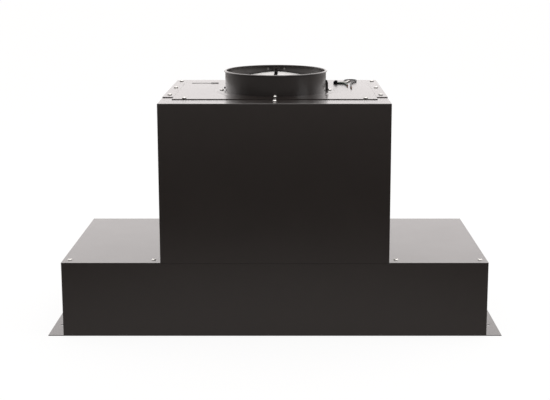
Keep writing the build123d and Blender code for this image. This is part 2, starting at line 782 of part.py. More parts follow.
tip_places = []
for name, route in (("black", black_route), ("white", white_route), ("green", green_route)):
    start = Vector(outlet_x + outlet_mouth, outlet_y, lead_level)
    points = [start + Vector(along, across) for along, across in route]
    radii = corner_radii(points)
    print(f"lead_{name}: tightest arc {min(radii):.1f} mm")
    with BuildPart() as lead:
        with BuildLine() as run:
            FilletPolyline(*points, radius=radii)
        with BuildSketch(Plane(origin=run.line @ 0, z_dir=run.line % 0)):
            Circle(lead_radius)
        sweep()
    length = sum(edge.length for edge in run.line.edges())
    volume_ratio = lead.part.volume / (math.pi * lead_radius**2 * length)
    print(f"lead_{name}: {length:.1f} mm long, volume over section times length {volume_ratio:.4f}")
    save(lead.part, f"lead_{name}")
    tip_places.append(Plane(origin=run.line @ 1, z_dir=run.line % 1))

# Stripped copper ends of the leads
with BuildPart() as lead_tips:
    for place in tip_places:
        with BuildSketch(place):
            Circle(lead_radius * 0.6)
        extrude(amount=tip_length)
save(lead_tips.part, "lead_tips")

# Underside pan: a recessed plate with upturned lips, two filter bays, lamp holes and a panel cut-out
pan_low = pan_recess
pan_high = pan_recess + sheet
pan_x = body_side - sheet
pan_y = (front + sheet, body_rear_face - sheet)
bay_front = front + sheet + strip_depth
bay_rear = body_rear_face - bay_margin
strip_y = bay_front - strip_depth / 2
bay_centres = (-bay_spacing / 2, bay_spacing / 2)
lamp_points = [(-lamp_x, strip_y), (lamp_x, strip_y)]
cutout_width = panel_width - 14
cutout_depth = panel_depth - 10
with BuildPart() as underside_pan:
    slab((-pan_x, pan_x), pan_y, (pan_low, pan_high + pan_lip))
    within_lips = ((-pan_x + sheet, pan_x - sheet), (pan_y[0] + sheet, pan_y[1] - sheet))
    slab(*within_lips, (pan_high, pan_high + pan_lip), Mode.SUBTRACT)
    for centre in bay_centres:
        slab(
            (centre - filter_width / 2, centre + filter_width / 2),
            (bay_front, bay_rear),
            (pan_low, pan_high),
            Mode.SUBTRACT,
        )
    drill(Plane.XY.offset(pan_high), lamp_points, lamp_radius + 0.5, sheet)
    slab(
        (-cutout_width / 2, cutout_width / 2),
        (strip_y - cutout_depth / 2, strip_y + cutout_depth / 2),
        (pan_low, pan_high),
        Mode.SUBTRACT,
    )
save(underside_pan.part, "underside_pan")

# Baffle filters: frame, baffles and latch. Each hangs by rear tabs and drops about its rear edge.
# The latch bolt's nose slopes both ways, so the filter snaps in and comes out with a pull
filter_side = filter_width / 2 - filter_gap
filter_front = bay_front + filter_gap
filter_back = bay_rear - filter_gap
filter_low = pan_low
filter_high = pan_low + filter_height
latch_y = filter_front + sheet + filter_front_rail * 0.2
bolt_low = pan_high + latch_clear
nose_length = latch_reach + latch_clear
nose_rise = nose_length * math.tan(math.radians(latch_nose_angle))
bolt_high = bolt_low + 2 * nose_rise + latch_nose_tip
for side, name in ((-1, "left"), (1, "right")):
    centre = side * bay_spacing / 2
    x_span = (centre - filter_side, centre + filter_side)
    with BuildPart() as frame:
        slab(x_span, (filter_front, filter_back), (filter_low, filter_high))
        slab(
            (x_span[0] + sheet, x_span[1] - sheet),
            (filter_front + sheet, filter_back - sheet),
            (filter_low + sheet, filter_high - sheet),
            Mode.SUBTRACT,
        )
        slab(
            (x_span[0] + filter_rail, x_span[1] - filter_rail),
            (filter_front + filter_front_rail, filter_back - filter_rail),
            (filter_low, filter_high),
            Mode.SUBTRACT,
        )
        for tab_x in (centre - tab_spread / 2, centre + tab_spread / 2):
            slab(
                (tab_x - tab_width / 2, tab_x + tab_width / 2),
                (filter_back - sheet, bay_rear + tab_reach),
                (pan_high + 0.1, pan_high + 0.1 + sheet),
            )
        slab(
            (centre - latch_width / 2 - button_gap, centre + latch_width / 2 + button_gap),
            (filter_front, filter_front + sheet),
            (bolt_low - 0.2, bolt_high + latch_clear),
            Mode.SUBTRACT,
        )
        slab(
            (centre - latch_stem / 2 - button_gap, centre + latch_stem / 2 + button_gap),
            (latch_y - button_gap, latch_y + latch_stem + latch_travel + button_gap),
            (filter_low, filter_low + sheet),
            Mode.SUBTRACT,
        )
    save(frame.part, f"filter_frame_{name}")

    with BuildPart() as baffles:
        span_y = (filter_front + filter_front_rail - 4, filter_back - sheet)
        room = 2 * filter_side - 2 * sheet
        low_count = int((room - baffle_width) // baffle_pitch) + 1
        first = centre - (low_count - 1) * baffle_pitch / 2
        base = filter_low + sheet
        top = filter_high - sheet
        for index in range(low_count):
            middle = first + index * baffle_pitch
            wide = (middle - baffle_width / 2, middle + baffle_width / 2)
            slab(wide, span_y, (base, base + baffle_lip))
            hollow = (wide[0] + thin_sheet, wide[1] - thin_sheet)
            slab(hollow, span_y, (base + thin_sheet, base + baffle_lip), Mode.SUBTRACT)
        for index in range(low_count - 1):
            middle = first + (index + 0.5) * baffle_pitch
            wide = (middle - baffle_width / 2, middle + baffle_width / 2)
            slab(wide, span_y, (top - baffle_lip, top))
            hollow = (wide[0] + thin_sheet, wide[1] - thin_sheet)
            slab(hollow, span_y, (top - baffle_lip, top - thin_sheet), Mode.SUBTRACT)
    save(baffles.part, f"baffles_{name}")

    with BuildPart() as latch:
        bolt_back = latch_y + latch_stem + 1
        nose_root = bay_front + latch_clear
        with BuildSketch(Plane.YZ.offset(centre - latch_width / 2)):
            with BuildLine():
                Polyline(
                    (bolt_back, bolt_low),
                    (nose_root, bolt_low),
                    (nose_root - nose_length, bolt_low + nose_rise),
                    (nose_root - nose_length, bolt_high - nose_rise),
                    (nose_root, bolt_high),
                    (bolt_back, bolt_high),
                    close=True,
                )
            make_face()
        extrude(amount=latch_width)
        slab(
            (centre - latch_stem / 2, centre + latch_stem / 2),
            (latch_y, latch_y + latch_stem),
            (filter_low - 0.3, bolt_low),
        )
        knob_y = latch_y + latch_stem / 2
        with BuildSketch(Plane.XY.offset(filter_low - 0.3 - knob_drop)) as knob:
            with Locations((centre, knob_y)):
                SlotOverall(knob_width, knob_width / 2)
        extrude(amount=knob_drop)
        chamfer(faces().sort_by(Axis.Z)[0].edges(), 0.9)
    save(latch.part, f"filter_latch_{name}")

# Lamps: housings through the pan, each with a lens in its bezel
for side, name in ((-1, "left"), (1, "right")):
    with BuildPart() as lamp:
        with BuildSketch(Plane.XZ.offset(-strip_y)):
            with BuildLine():
                x0 = side * lamp_x
                Polyline(
                    (x0, pan_low + 1),
                    (x0 + lens_radius + 0.3, pan_low + 1),
                    (x0 + lens_radius + 0.3, pan_low - 2.5),
                    (x0 + lamp_bezel - 1, pan_low - 2.5),
                    (x0 + lamp_bezel, pan_low - 1.5),
                    (x0 + lamp_bezel, pan_low),
                    (x0 + lamp_radius, pan_low),
                    (x0 + lamp_radius, pan_low + lamp_height),
                    (x0, pan_low + lamp_height),
                    close=True,
                )
            make_face()
        revolve(axis=Axis((x0, strip_y, 0), (0, 0, 1)))
    save(lamp.part, f"lamp_housing_{name}")
    with BuildPart() as lens:
        with BuildSketch(Plane.XY.offset(pan_low + 1)):
            with Locations((x0, strip_y)):
                Circle(lens_radius)
        extrude(amount=-3)
        chamfer(faces().sort_by(Axis.Z)[0].edges(), 0.8)
    save(lens.part, f"lamp_lens_{name}")

# Control panel, its five push buttons and the switch block behind them
panel_low = pan_low - panel_thickness
button_names = ("light", "stop", "low", "medium", "high")
button_places = [((index - 2) * button_pitch, strip_y) for index in range(5)]
with BuildPart() as control_panel:
    with BuildSketch(Plane.XY.offset(panel_low)):
        with Locations((0, strip_y)):
            RectangleRounded(panel_width, panel_depth, 3)
        with Locations(*button_places):
            Rectangle(button_width + 2 * button_gap, button_depth + 2 * button_gap, mode=Mode.SUBTRACT)
    extrude(amount=panel_thickness)
    rim = faces().sort_by(Axis.Z)[0].outer_wire().edges()
    chamfer(rim, 0.8)
save(control_panel.part, "control_panel")
button_flange = 1.5
flange_sheet = 1.0
for name, place in zip(button_names, button_places):
    with BuildPart() as button:
        with BuildSketch(Plane.XY.offset(panel_low - button_proud)):
            with Locations(place):
                RectangleRounded(button_width, button_depth, 1)
        extrude(amount=panel_thickness + button_proud + 0.2)
        chamfer(faces().sort_by(Axis.Z)[0].edges(), 0.5)
        with BuildSketch(Plane.XY.offset(pan_low + 0.2)):
            with Locations(place):
                Rectangle(button_width + 2 * button_flange, button_depth + 2 * button_flange)
        extrude(amount=flange_sheet)
    save(button.part, f"button_{name}")
switch_low = pan_low + 0.2 + flange_sheet + button_travel + button_gap
with BuildPart() as switch_block:
    slab(
        (-cutout_width / 2 - 6, cutout_width / 2 + 6),
        (strip_y - cutout_depth / 2 - 5, strip_y + cutout_depth / 2 + 5),
        (pan_high, switch_low + switch_height),
    )
    slab(
        (-cutout_width / 2, cutout_width / 2),
        (strip_y - cutout_depth / 2, strip_y + cutout_depth / 2),
        (pan_high, switch_low),
        Mode.SUBTRACT,
    )
save(switch_block.part, "switch_block")

# Screws
with BuildPart() as shoulder_screws:
    pan_head_screws(shoulder_points_left + shoulder_points_right, body_height)
save(shoulder_screws.part, "shoulder_screws")
with BuildPart() as lid_screws:
    pan_head_screws(lid_points, lid_top)
save(lid_screws.part, "lid_screws")
with BuildPart() as casing_screws:
    pan_head_screws([front_point], casing_top)
    pan_head_screws(strip_points, lid_top)
save(casing_screws.part, "casing_screws")
with BuildPart() as collar_screws:
    pan_head_screws(collar_points, lid_top + thin_sheet)
save(collar_screws.part, "collar_screws")
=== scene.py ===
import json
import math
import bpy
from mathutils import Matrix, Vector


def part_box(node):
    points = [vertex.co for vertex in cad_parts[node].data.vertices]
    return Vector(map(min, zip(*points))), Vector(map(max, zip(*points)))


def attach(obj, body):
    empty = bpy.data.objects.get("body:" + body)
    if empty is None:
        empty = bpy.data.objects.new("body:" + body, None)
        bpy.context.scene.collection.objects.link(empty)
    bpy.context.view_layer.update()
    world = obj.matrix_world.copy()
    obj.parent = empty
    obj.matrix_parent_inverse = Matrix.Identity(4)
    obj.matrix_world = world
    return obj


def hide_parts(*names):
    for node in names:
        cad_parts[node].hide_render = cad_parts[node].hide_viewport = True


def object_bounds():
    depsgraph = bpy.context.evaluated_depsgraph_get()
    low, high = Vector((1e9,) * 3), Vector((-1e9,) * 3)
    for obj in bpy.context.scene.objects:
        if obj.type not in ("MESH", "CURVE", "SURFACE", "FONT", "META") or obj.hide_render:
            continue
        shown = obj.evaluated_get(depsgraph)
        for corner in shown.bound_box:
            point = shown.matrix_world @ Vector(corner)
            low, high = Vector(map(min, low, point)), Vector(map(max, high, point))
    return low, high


bl_info = {
    "name": "Built-in range hood",
    "version": (1, 0, 0),
    "blender": (4, 5, 0),
    "location": "3D View > Sidebar > Hood",
    "description": "Finishes, leads, screws and studio for a built-in range hood",
    "category": "Object",
}

import bmesh
import bpy
from bpy.props import FloatProperty, FloatVectorProperty, IntProperty, PointerProperty, StringProperty
from mathutils import Matrix, Vector

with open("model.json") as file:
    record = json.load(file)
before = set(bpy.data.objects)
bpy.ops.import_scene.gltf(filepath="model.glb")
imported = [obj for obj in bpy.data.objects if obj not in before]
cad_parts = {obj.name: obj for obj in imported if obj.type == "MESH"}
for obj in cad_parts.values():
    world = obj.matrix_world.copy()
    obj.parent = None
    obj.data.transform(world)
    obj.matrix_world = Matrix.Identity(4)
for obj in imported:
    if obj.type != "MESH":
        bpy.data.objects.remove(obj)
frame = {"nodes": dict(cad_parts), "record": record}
cad_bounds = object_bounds()

MM = 0.001
IMAGE_WIDTH = 550
IMAGE_HEIGHT = 400

# Sockets of a Mix node that mixes two colours
COLOUR_A = 6
COLOUR_B = 7
COLOUR_MIXED = 2

lid_low, lid_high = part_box("top_lid")
outlet_low, outlet_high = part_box("lead_outlet")
collar_low, collar_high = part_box("duct_collar")
mounts = {mount["name"]: mount for mount in frame["record"]["mounts"]}
collar_radius = mounts["duct_collar"]["dims"]["r_mm"] * MM


# Small tools


def linear(colour):
    """An sRGB hex colour such as #2a2725 as linear red, green, blue and alpha."""
    parts = [int(colour[i : i + 2], 16) / 255 for i in (1, 3, 5)]
    return tuple(c / 12.92 if c <= 0.04045 else ((c + 0.055) / 1.055) ** 2.4 for c in parts) + (1.0,)


def shaded(colour, share):
    """A linear colour with its light cut or raised to a share of it."""
    return tuple(c * share for c in colour[:3]) + (1.0,)


def add_node(tree, kind, inputs=None, **settings):
    """A node with its settings. An input is a value, or an output socket to link from."""
    node = tree.nodes.new(kind)
    for name, value in settings.items():
        setattr(node, name, value)
    for key, value in (inputs or {}).items():
        if isinstance(value, bpy.types.NodeSocket):
            tree.links.new(value, node.inputs[key])
        else:
            node.inputs[key].default_value = value
    return node


def start_material(name):
    """An empty node material with its Principled shader, and object coordinates to draw on."""
    material = bpy.data.materials.new(name)
    material.use_nodes = True
    tree = material.node_tree
    tree.nodes.clear()
    shader = add_node(tree, "ShaderNodeBsdfPrincipled")
    add_node(tree, "ShaderNodeOutputMaterial", {"Surface": shader.outputs[0]})
    place = add_node(tree, "ShaderNodeTexCoord").outputs["Object"]
    return material, tree, shader, place


def new_piece(name, mesh, slot):
    """A finished mesh as a piece of the housing, in the finish of its slot."""
    piece = bpy.data.objects.new(name, mesh)
    bpy.context.scene.collection.objects.link(piece)
    mesh.materials.append(finish_of(slot))
    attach(piece, "housing")
    return piece


def mesh_from(build, name):
    """The mesh made from a bmesh, with its doubles merged and its faces outwards."""
    bmesh.ops.remove_doubles(build, verts=build.verts, dist=1e-7)
    bmesh.ops.recalc_face_normals(build, faces=build.faces)
    mesh = bpy.data.meshes.new(name)
    build.to_mesh(mesh)
    build.free()
    return mesh


def turned(name, profile, sides):
    """A mesh turned about Z from a profile of radius and height, top first."""
    build = bmesh.new()
    vertices = [build.verts.new((reach, 0, height)) for reach, height in profile]
    edges = [build.edges.new(pair) for pair in zip(vertices, vertices[1:])]
    bmesh.ops.spin(
        build,
        geom=vertices + edges,
        axis=(0, 0, 1),
        cent=(0, 0, 0),
        steps=sides,
        angle=2 * math.pi,
        use_merge=True,
    )
    return mesh_from(build, name)


def solids_of(node):
    """The lowest and highest corner of each separate solid in a CAD node, left to right."""
    build = bmesh.new()
    build.from_mesh(frame["nodes"][node].data)
    bmesh.ops.remove_doubles(build, verts=build.verts, dist=1e-6)
    seen, boxes = set(), []
    for start in build.verts:
        if start in seen:
            continue
        seen.add(start)
        group, queue = [], [start]
        while queue:
            vertex = queue.pop()
            group.append(vertex.co.copy())
            for edge in vertex.link_edges:
                other = edge.other_vert(vertex)
                if other not in seen:
                    seen.add(other)
                    queue.append(other)
        boxes.append([Vector(pick(co[axis] for co in group) for axis in range(3)) for pick in (min, max)])
    build.free()
    return sorted(boxes, key=lambda corners: tuple(corners[0]))


def apply_modifiers(piece):
    """Turns a piece and its modifiers into plain mesh."""
    graph = bpy.context.evaluated_depsgraph_get()
    mesh = bpy.data.meshes.new_from_object(piece.evaluated_get(graph))
    piece.modifiers.clear()
    piece.data = mesh


# Sizes and colours that a user would change


class HoodFinish(bpy.types.PropertyGroup):
    coat_colour: StringProperty(name="Powder coat", description="Body colour, sRGB hex", default="#221a16")
    coat_worn_colour: StringProperty(
        name="Powder coat, handled",
        description="Colour where the coat was wiped, sRGB hex",
        default="#271f1b",
    )
    coat_roughness: FloatProperty(
        name="Coat roughness", description="Gloss of the baked surface", default=0.2, min=0, max=1
    )
    peel_width: FloatProperty(
        name="Orange peel", description="Width of one ripple in the coat", default=2.4 * MM, unit="LENGTH"
    )
    spangle_width: FloatProperty(
        name="Spangle", description="Width of one zinc crystal", default=7 * MM, unit="LENGTH"
    )
    brush_width: FloatProperty(
        name="Brush line",
        description="Width of one brush line in stainless steel",
        default=0.6 * MM,
        unit="LENGTH",
    )
    zinc_colour: StringProperty(name="Zinc plate", description="Screw colour, sRGB hex", default="#f1f0ec")
    steel_colour: StringProperty(
        name="Stainless steel", description="Filter colour, sRGB hex", default="#c9c8c5"
    )
    aluminium_colour: StringProperty(
        name="Aluminium", description="Damper colour, sRGB hex", default="#f4f4f2"
    )
    # Painted shade on the damper's knuckles: its colour, and its reach from the rod
    knuckle_shade_colour: StringProperty(
        name="Painted knuckle shade", description="Painted shade on the damper's knuckles", default="#151414"
    )
    knuckle_shade_reach: FloatProperty(
        name="Shade reach",
        description="From the damper's rod to the edge of the painted shade",
        default=3 * MM,
        unit="LENGTH",
    )


class HoodDetail(bpy.types.PropertyGroup):
    recess_width: FloatProperty(
        name="Recess width",
        description="Width of one arm of the cross recess",
        default=0.9 * MM,
        unit="LENGTH",
    )
    recess_length: FloatProperty(
        name="Recess length", description="Length of the cross recess", default=3.4 * MM, unit="LENGTH"
    )
    recess_depth: FloatProperty(
        name="Recess depth", description="Depth of the cross recess", default=0.9 * MM, unit="LENGTH"
    )
    seat_drop: FloatProperty(
        name="Seat",
        description="From the top of a packed screw down to its seat",
        default=1.9 * MM,
        unit="LENGTH",
    )
    head_height: FloatProperty(
        name="Head height",
        description="Height of a screw's head over its washer",
        default=1.9 * MM,
        unit="LENGTH",
    )
    # The black washer under a screw's head is painted shade round the head
    shade_washer_height: FloatProperty(
        name="Washer", description="Thickness of a screw's nylon washer", default=0.6 * MM, unit="LENGTH"
    )
    shade_washer_rim: FloatProperty(
        name="Washer rim",
        description="How far a washer stands out from its head",
        default=0.6 * MM,
        unit="LENGTH",
    )
    rim_reach: FloatProperty(
        name="Rim",
        description="How far the collar's rolled rim stands out",
        default=2.0 * MM,
        unit="LENGTH",
    )
    rim_height: FloatProperty(
        name="Rim height", description="Height of the collar's rolled rim", default=2.8 * MM, unit="LENGTH"
    )
    hook_inset: FloatProperty(
        name="Hook inset",
        description="From the lid's left edge to its hook",
        default=13 * MM,
        unit="LENGTH",
    )
    hook_length: FloatProperty(
        name="Hook",
        description="Length of the strip that holds the lid's rear edge",
        default=50 * MM,
        unit="LENGTH",
    )
    hook_lip: FloatProperty(
        name="Hook lip", description="Length of its raised lip", default=14 * MM, unit="LENGTH"
    )
    hook_overlap: FloatProperty(
        name="Hook overlap",
        description="How far it reaches to each side of the seam",
        default=4 * MM,
        unit="LENGTH",
    )
    hook_thickness: FloatProperty(
        name="Hook thickness", description="Sheet thickness of the strip", default=0.5 * MM, unit="LENGTH"
    )
    foot_reach: FloatProperty(
        name="Collar foot",
        description="Reach of the sealed foot round the base flange",
        default=6 * MM,
        unit="LENGTH",
    )
    lead_diameter: FloatProperty(
        name="Lead diameter", description="Outer diameter of a supply lead", default=3 * MM, unit="LENGTH"
    )
    tip_length: FloatProperty(
        name="Bare end", description="Length of copper stripped bare", default=8 * MM, unit="LENGTH"
    )
    strand_count: IntProperty(name="Strands", description="Outer strands in a lead", default=9, min=5)
    screw_seed: IntProperty(name="Screw turn", description="Seed for how each screw is turned", default=4)


class HoodStudio(bpy.types.PropertyGroup):
    camera_place: FloatVectorProperty(
        name="Camera",
        description="Camera place",
        default=(24.8 * MM, -1869.2 * MM, 626.1 * MM),
        unit="LENGTH",
    )
    camera_tilt: FloatProperty(
        name="Tilt",
        description="How far the camera looks down",
        default=math.radians(9.63),
        unit="ROTATION",
    )
    focal_pixels: FloatProperty(name="Focal length", description="In pixels of the photo", default=1061.5)
    centre_x: FloatProperty(
        name="Centre X", description="Optical centre in pixels from the left", default=289.7
    )
    centre_y: FloatProperty(
        name="Centre Y", description="Optical centre in pixels from the top", default=138.3
    )
    floor_reach: FloatProperty(
        name="Floor", description="Half width of the floor", default=14.0, unit="LENGTH"
    )
    wall_level: FloatProperty(
        name="Walls", description="Brightness of walls and ceiling, 1 is white", default=1.28
    )
    open_side: FloatProperty(
        name="Open side", description="Brightness of the open side of the studio", default=0.2
    )
    key_power: FloatProperty(
        name="Key light", description="Power of the ceiling softbox", default=9.0, unit="POWER"
    )
    side_power: FloatProperty(
        name="Side light", description="Power of the side softbox", default=5.0, unit="POWER"
    )


# Finishes. Each is named for the real material, and is made once for its slot

# Widths of a cloud in the coat and in a moulding, of a grain of frost, and of the blurred edge of the
# painted shade on the damper's knuckles
COAT_CLOUD = 90 * MM
MOULDING_CLOUD = 25 * MM
FROST_GRAIN = 0.9 * MM
KNUCKLE_SHADE_BLUR = 0.2 * MM


def powder_coat():
    """Black powder coat, sprayed and baked on steel: near black, a clear skin that mirrors pale
    surroundings at a low angle, and a soft orange peel."""
    finish = bpy.context.scene.hood_finish
    material, tree, shader, place = start_material("Powder-coated steel")
    cloud = add_node(tree, "ShaderNodeTexNoise", {"Vector": place, "Scale": 1 / COAT_CLOUD, "Detail": 3.0})
    tint = add_node(
        tree,
        "ShaderNodeMix",
        {
            "Factor": cloud.outputs[0],
            COLOUR_A: linear(finish.coat_colour),
            COLOUR_B: linear(finish.coat_worn_colour),
        },
        data_type="RGBA",
    )
    peel = add_node(
        tree, "ShaderNodeTexNoise", {"Vector": place, "Scale": 1 / finish.peel_width, "Detail": 2.0}
    )
    relief = add_node(
        tree, "ShaderNodeBump", {"Height": peel.outputs[0], "Strength": 0.12, "Distance": 0.03 * MM}
    )
    haze = add_node(tree, "ShaderNodeMapRange", {"Value": cloud.outputs[0], "To Min": 0.3, "To Max": 0.38})
    tree.links.new(tint.outputs[COLOUR_MIXED], shader.inputs["Base Color"])
    tree.links.new(haze.outputs[0], shader.inputs["Roughness"])
    tree.links.new(relief.outputs[0], shader.inputs["Normal"])
    tree.links.new(relief.outputs[0], shader.inputs["Coat Normal"])
    shader.inputs["IOR"].default_value = 1.5
    shader.inputs["Coat Weight"].default_value = 1.0
    shader.inputs["Coat IOR"].default_value = 1.5
    shader.inputs["Coat Roughness"].default_value = finish.coat_roughness
    return material


def metal(name, colour, low, high, width, stretch=(1.0, 1.0, 1.0), depth=0.01 * MM, bare=1.0):
    """Metal whose grain varies its shade, its relief, and its gloss between a low and a high roughness.
    Width is one grain, stretch draws it out along an axis, and depth is its relief. A bare share below 1
    is for metal under a dull oxide skin."""
    material, tree, shader, place = start_material(name)
    lie = add_node(tree, "ShaderNodeMapping", {"Vector": place, "Scale": stretch})
    grain = add_node(
        tree, "ShaderNodeTexNoise", {"Vector": lie.outputs[0], "Scale": 1 / width, "Detail": 4.0}
    )
    gloss = add_node(tree, "ShaderNodeMapRange", {"Value": grain.outputs[0], "To Min": low, "To Max": high})
    base = linear(colour)
    shade = add_node(
        tree,
        "ShaderNodeMix",
        {"Factor": grain.outputs[0], COLOUR_A: base, COLOUR_B: shaded(base, 0.86)},
        data_type="RGBA",
    )
    relief = add_node(
        tree, "ShaderNodeBump", {"Height": grain.outputs[0], "Strength": 0.3, "Distance": depth}
    )
    tree.links.new(shade.outputs[COLOUR_MIXED], shader.inputs["Base Color"])
    tree.links.new(gloss.outputs[0], shader.inputs["Roughness"])
    tree.links.new(relief.outputs[0], shader.inputs["Normal"])
    shader.inputs["Metallic"].default_value = bare
    return material


def zinc_plate():
    """Bright zinc plate on a screw: a pale, slightly mottled mirror."""
    colour = bpy.context.scene.hood_finish.zinc_colour
    return metal("Zinc-plated steel", colour, low=0.14, high=0.24, width=1.2 * MM, bare=0.75)


def mill_aluminium():
    """Rolled aluminium sheet as it leaves the mill: pale and satin, with faint lines along the roll. Painted
    shade covers the knuckles along X = 0: they are near black there, and without gloss."""
    finish = bpy.context.scene.hood_finish
    material = metal(
        "Mill-finish aluminium",
        finish.aluminium_colour,
        low=0.42,
        high=0.55,
        width=1.5 * MM,
        stretch=(1.0, 0.05, 1.0),
        bare=0.05,
    )
    tree = material.node_tree
    shader = next(node for node in tree.nodes if node.type == "BSDF_PRINCIPLED")
    place = next(node for node in tree.nodes if node.type == "TEX_COORD").outputs["Object"]
    # Painted shade: near black and without gloss within the reach of X = 0, where the knuckles lie
    across = add_node(tree, "ShaderNodeSeparateXYZ", {"Vector": place}).outputs["X"]
    aside = add_node(tree, "ShaderNodeMath", {0: across}, operation="ABSOLUTE").outputs[0]
    edge = {"Value": aside, "From Min": finish.knuckle_shade_reach, "From Max": finish.knuckle_shade_reach + KNUCKLE_SHADE_BLUR}
    bare = add_node(tree, "ShaderNodeMapRange", edge)
    sheen = add_node(tree, "ShaderNodeMapRange", {**edge, "To Max": 0.5})
    shade = add_node(
        tree,
        "ShaderNodeMix",
        {
            "Factor": bare.outputs[0],
            COLOUR_A: linear(finish.knuckle_shade_colour),
            COLOUR_B: shader.inputs["Base Color"].links[0].from_socket,
        },
        data_type="RGBA",
    )
    tree.links.new(shade.outputs[COLOUR_MIXED], shader.inputs["Base Color"])
    tree.links.new(sheen.outputs[0], shader.inputs["Specular IOR Level"])
    return material


def drawn_steel():
    """Bright drawn steel: lines along the draw, made coarser than real so that they show."""
    return metal("Drawn steel", "#8d8b88", low=0.3, high=0.42, width=0.8 * MM, stretch=(1.0, 0.1, 1.0))


def brushed_stainless():
    """Stainless steel brushed from front to back: a long fine grain that smears what it mirrors."""
    finish = bpy.context.scene.hood_finish
    return metal(
        "Brushed stainless steel",
        finish.steel_colour,
        low=0.24,
        high=0.42,
        width=finish.brush_width,
        stretch=(1.0, 0.02, 1.0),
        depth=0.02 * MM,
    )


def spun_aluminium():
    """Aluminium spun and drawn into a cup or a can: even and satin."""
    return metal("Drawn aluminium", "#c8c9ca", low=0.3, high=0.42, width=2.0 * MM)


def bare_copper():
    """Copper strands fresh from the stripper: a warm satin."""
    return metal("Bare copper", "#96654a", low=0.3, high=0.45, width=0.5 * MM)


def galvanised_steel():
    """Hot-dip galvanised sheet: zinc crystals, each with its own grey and gloss."""
    finish = bpy.context.scene.hood_finish
    material, tree, shader, place = start_material("Galvanised steel")
    crystal = add_node(tree, "ShaderNodeTexVoronoi", {"Vector": place, "Scale": 1 / finish.spangle_width})
    grey = add_node(tree, "ShaderNodeSeparateColor", {0: crystal.outputs["Color"]})
    shade = add_node(
        tree,
        "ShaderNodeMix",
        {"Factor": grey.outputs[0], COLOUR_A: linear("#9fa3a5"), COLOUR_B: linear("#c2c5c6")},
        data_type="RGBA",
    )
    gloss = add_node(tree, "ShaderNodeMapRange", {"Value": grey.outputs[1], "To Min": 0.3, "To Max": 0.5})
    tree.links.new(shade.outputs[COLOUR_MIXED], shader.inputs["Base Color"])
    tree.links.new(gloss.outputs[0], shader.inputs["Roughness"])
    shader.inputs["Metallic"].default_value = 1.0
    return material


def moulded(name, colour, roughness, grain=0.5 * MM, ior=1.5):
    """A moulded or painted surface: even colour with a fine spark-eroded grain."""
    material, tree, shader, place = start_material(name)
    texture = add_node(tree, "ShaderNodeTexNoise", {"Vector": place, "Scale": 1 / grain, "Detail": 2.0})
    cloud = add_node(
        tree, "ShaderNodeTexNoise", {"Vector": place, "Scale": 1 / MOULDING_CLOUD, "Detail": 2.0}
    )
    base = linear(colour)
    shade = add_node(
        tree,
        "ShaderNodeMix",
        {"Factor": cloud.outputs[0], COLOUR_A: base, COLOUR_B: shaded(base, 1.25)},
        data_type="RGBA",
    )
    gloss = add_node(
        tree,
        "ShaderNodeMapRange",
        {"Value": texture.outputs[0], "To Min": roughness * 0.85, "To Max": roughness * 1.15},
    )
    relief = add_node(
        tree, "ShaderNodeBump", {"Height": texture.outputs[0], "Strength": 0.25, "Distance": 0.03 * MM}
    )
    tree.links.new(shade.outputs[COLOUR_MIXED], shader.inputs["Base Color"])
    tree.links.new(gloss.outputs[0], shader.inputs["Roughness"])
    tree.links.new(relief.outputs[0], shader.inputs["Normal"])
    shader.inputs["IOR"].default_value = ior
    return material


def insulation(name, colour, roughness):
    """PVC drawn over a lead's strands: smooth, with a dull gloss."""
    return moulded(name, colour, roughness, grain=0.9 * MM, ior=1.53)


def frosted_glass():
    """Pressed glass, etched inside: it blurs the lamp behind it."""
    material, tree, shader, place = start_material("Frosted glass")
    frost = add_node(tree, "ShaderNodeTexNoise", {"Vector": place, "Scale": 1 / FROST_GRAIN, "Detail": 3.0})
    gloss = add_node(tree, "ShaderNodeMapRange", {"Value": frost.outputs[0], "To Min": 0.3, "To Max": 0.45})
    tree.links.new(gloss.outputs[0], shader.inputs["Roughness"])
    shader.inputs["Base Color"].default_value = linear("#f3f4f0")
    shader.inputs["Transmission Weight"].default_value = 0.55
    shader.inputs["IOR"].default_value = 1.5
    return material


FINISH_MAKERS = {
    "black_powder": powder_coat,
    "galvanised": galvanised_steel,
    "flap_aluminium": mill_aluminium,
    "bright_steel": drawn_steel,
    "zinc_screw": zinc_plate,
    "stainless": brushed_stainless,
    "black_plastic": lambda: moulded("Moulded nylon", "#0e0e0e", 0.85, grain=0.8 * MM, ior=1.2),
    "button_plastic": lambda: moulded("Moulded ABS", "#3a3a3c", 0.38),
    "lamp_housing": spun_aluminium,
    "lamp_lens": frosted_glass,
    "motor_paint": lambda: moulded("Grey enamel", "#5c5f61", 0.32, grain=1.6 * MM),
    "capacitor_can": spun_aluminium,
    "grommet_rubber": lambda: moulded("Moulded rubber", "#101010", 0.62, grain=0.8 * MM),
    "black_lead": lambda: insulation("PVC insulation, black", "#0f0f0f", 0.42),
    "white_lead": lambda: insulation("PVC insulation, white", "#dedcd5", 0.36),
    "green_lead": lambda: insulation("PVC insulation, green", "#0f3320", 0.42),
    "copper": bare_copper,
}
finishes = {}


def finish_of(slot):
    """The material of a slot, made when it is first asked for."""
    if slot not in finishes:
        finishes[slot] = FINISH_MAKERS[slot]()
    return finishes[slot]


class HOOD_OT_finish(bpy.types.Operator):
    """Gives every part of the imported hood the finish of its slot"""

    bl_idname = "hood.finish"
    bl_label = "Finish the parts"

    def execute(self, context):
        for row in frame["record"]["subparts"]:
            part = frame["nodes"][row["node"]]
            part.data.materials.clear()
            part.data.materials.append(finish_of(row["material_slot"]))
        return {"FINISHED"}


# Supply leads. The routes are offsets from the middle of the outlet's mouth, along X and Y, in millimetres

